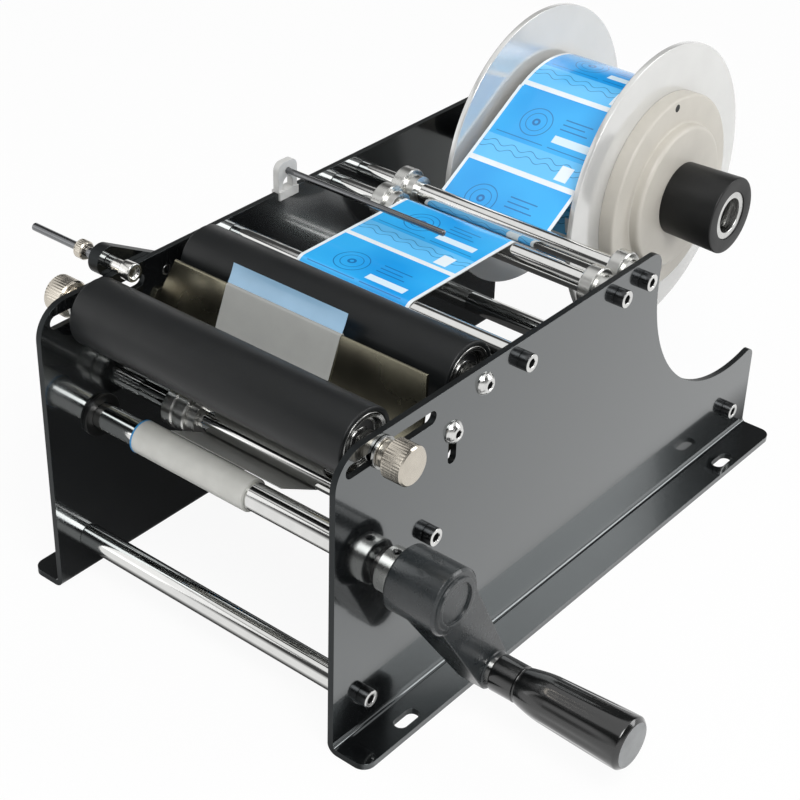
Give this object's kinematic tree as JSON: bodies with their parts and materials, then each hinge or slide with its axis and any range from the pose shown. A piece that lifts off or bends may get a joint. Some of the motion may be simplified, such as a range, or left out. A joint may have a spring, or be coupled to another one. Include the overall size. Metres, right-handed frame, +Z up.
{
  "type": "manual bottle labeling machine",
  "caption": "Hand cranked bench machine that sticks roll labels on round bottles: two folded side plates, bottle rollers, peel plate, label reel, guide bars, take-up shaft and crank.",
  "frame": {"origin": "centre of the bounding box in plan, on the underside of the base flanges", "axes": "+X across the machine towards the crank, +Y from the bottle rollers back to the label reel, +Z up"},
  "size_m": [0.3274, 0.3878, 0.2074],
  "materials": {
    "black_painted_steel": "gloss black powder coat",
    "chromed_steel": "polished, hard chromed rod",
    "black_oxide_screws": "dark socket screws with bright faces",
    "roller_rubber": "matte charcoal rubber cover",
    "bearing_steel": "ground bearing rings and sleeves",
    "nickel_nuts": "warm nickel plate, bright turned faces",
    "stainless_blade": "folded stainless sheet, bright rounded edge",
    "label_print": null,
    "liner_paper": "grey silicone coated release paper",
    "label_back": "adhesive back of a clear blue label",
    "translucent_disc": "clear glossy acrylic disc",
    "ivory_plastic": "turned ivory plastic",
    "black_plastic": "moulded black plastic",
    "grip_plastic": "gloss black moulded grip with a grey end",
    "grey_casting": "dark grey enamelled casting",
    "bronze_bush": "sintered bronze",
    "card_core": "wound card core",
    "aluminium_turned": "turned aluminium"
  },
  "bodies": {
    "frame": {"left_side_plate": "black_painted_steel", "right_side_plate": "black_painted_steel", "tie_rods": "chromed_steel", "front_guide_bar": "chromed_steel", "rear_guide_bar": "chromed_steel", "turning_bar": "chromed_steel", "liner_guide_bar": "chromed_steel", "bar_end_screws": "black_oxide_screws", "rear_roller_axle": "chromed_steel", "rear_roller_spacers": "bearing_steel", "frame_button_screws": "black_oxide_screws", "take_up_bushes": "black_plastic", "reel_bearing": "aluminium_turned", "label_web": "label_print", "web_front_run": "label_print", "liner_front_run": "liner_paper", "liner_tail": "liner_paper"},
    "rear_roller": {"rear_roller_cover": "roller_rubber", "rear_roller_tube": "bearing_steel", "rear_roller_bearings": "bearing_steel"},
    "front_carriage": {"front_roller_axle": "chromed_steel", "front_roller_spacers": "bearing_steel", "front_roller_washers": "bearing_steel"},
    "front_roller": {"front_roller_cover": "roller_rubber", "front_roller_tube": "bearing_steel", "front_roller_bearings": "bearing_steel"},
    "left_thumb_nut": {"left_thumb_nut": "nickel_nuts"},
    "right_thumb_nut": {"right_thumb_nut": "nickel_nuts"},
    "peel_plate": {"peel_plate": "stainless_blade", "peel_plate_screws": "black_oxide_screws", "peeled_label": "label_back"},
    "crank": {"take_up_shaft": "chromed_steel", "liner_roll": "liner_paper", "crank_collar": "chromed_steel", "crank_arm": "grey_casting", "crank_set_screws": "black_oxide_screws", "grip_spindle": "chromed_steel"},
    "grip": {"crank_grip": "grip_plastic"},
    "front_bar_left_collar": {"front_bar_left_collar": "chromed_steel"},
    "front_bar_right_collar": {"front_bar_right_collar": "chromed_steel"},
    "rear_bar_left_collar": {"rear_bar_left_collar": "chromed_steel"},
    "rear_bar_right_collar": {"rear_bar_right_collar": "chromed_steel"},
    "liner_collar": {"liner_collar": "chromed_steel"},
    "reel": {"reel_shaft": "chromed_steel", "reel_shaft_collar": "chromed_steel", "left_disc": "translucent_disc", "left_hub": "ivory_plastic", "label_core": "card_core", "label_roll": "label_print"},
    "reel_flange": {"right_disc": "translucent_disc", "stepped_hub": "ivory_plastic", "reel_cap": "black_plastic", "cap_ring": "aluminium_turned"},
    "pointer_post": {"pointer_post": "ivory_plastic"},
    "pointer_rod": {"pointer_rod": "chromed_steel"},
    "stop_arm": {"stop_arm": "black_painted_steel"},
    "stop_rod": {"stop_rod": "chromed_steel", "stop_nut": "nickel_nuts", "stop_tip": "nickel_nuts"}
  },
  "joints": [
    {"name": "crank_spin", "type": "hinge", "parent": "frame", "child": "crank", "pos_m": [-0.02925, -0.1635, 0.0834], "axis": [1, 0, 0], "continuous": true},
    {"name": "grip_spin", "type": "hinge", "parent": "crank", "child": "grip", "pos_m": [0.12975, -0.13242, 0.02802], "axis": [1, 0, 0], "continuous": true},
    {"name": "rear_roller_spin", "type": "hinge", "parent": "frame", "child": "rear_roller", "pos_m": [-0.02925, -0.0997, 0.141], "axis": [1, 0, 0], "continuous": true},
    {"name": "reel_spin", "type": "hinge", "parent": "frame", "child": "reel", "pos_m": [-0.02925, 0.1179, 0.1314], "axis": [1, 0, 0], "continuous": true},
    {"name": "front_carriage_slide", "type": "slide", "parent": "frame", "child": "front_carriage", "axis": [0, 1, 0], "range_m": [-0.018, 0.002]},
    {"name": "front_roller_spin", "type": "hinge", "parent": "front_carriage", "child": "front_roller", "pos_m": [-0.02925, -0.1663, 0.141], "axis": [1, 0, 0], "continuous": true},
    {"name": "left_thumb_nut_spin", "type": "hinge", "parent": "front_carriage", "child": "left_thumb_nut", "pos_m": [-0.12275, -0.1663, 0.141], "axis": [1, 0, 0], "continuous": true},
    {"name": "right_thumb_nut_spin", "type": "hinge", "parent": "front_carriage", "child": "right_thumb_nut", "pos_m": [0.06425, -0.1663, 0.141], "axis": [1, 0, 0], "continuous": true},
    {"name": "peel_plate_slide", "type": "slide", "parent": "frame", "child": "peel_plate", "axis": [0, 0, 1], "range_m": [-0.0105, 0], "deforming": ["web_front_run", "liner_front_run"]},
    {"name": "front_bar_left_collar_slide", "type": "slide", "parent": "frame", "child": "front_bar_left_collar", "axis": [1, 0, 0], "range_m": [-0.027, 0.001]},
    {"name": "rear_bar_left_collar_slide", "type": "slide", "parent": "frame", "child": "rear_bar_left_collar", "axis": [1, 0, 0], "range_m": [-0.023, 0.005]},
    {"name": "front_bar_right_collar_slide", "type": "slide", "parent": "frame", "child": "front_bar_right_collar", "axis": [1, 0, 0], "range_m": [-0.042, 0.001]},
    {"name": "rear_bar_right_collar_slide", "type": "slide", "parent": "frame", "child": "rear_bar_right_collar", "axis": [1, 0, 0], "range_m": [-0.043, 0.0004]},
    {"name": "liner_collar_slide", "type": "slide", "parent": "frame", "child": "liner_collar", "axis": [1, 0, 0], "range_m": [-0.018, 0.003]},
    {"name": "reel_flange_slide", "type": "slide", "parent": "reel", "child": "reel_flange", "axis": [1, 0, 0], "range_m": [0, 0.05]},
    {"name": "pointer_post_slide", "type": "slide", "parent": "frame", "child": "pointer_post", "axis": [0, 1, 0], "range_m": [-0.02, 0.02]},
    {"name": "pointer_rod_slide", "type": "slide", "parent": "pointer_post", "child": "pointer_rod", "axis": [1, 0, 0], "range_m": [-0.015, 0.015]},
    {"name": "stop_arm_swing", "type": "hinge", "parent": "frame", "child": "stop_arm", "pos_m": [-0.11785, -0.1179, 0.1395], "axis": [1, 0, 0], "range_deg": [-60, 0.5]},
    {"name": "stop_rod_slide", "type": "slide", "parent": "stop_arm", "child": "stop_rod", "axis": [1, 0, 0], "range_m": [0, 0.007]}
  ],
  "couplings": [
    {"joint": "rear_roller_spin", "follows": "crank_spin", "ratio": -0.50633},
    {"joint": "reel_spin", "follows": "crank_spin", "ratio": 0.15534}
  ]
}
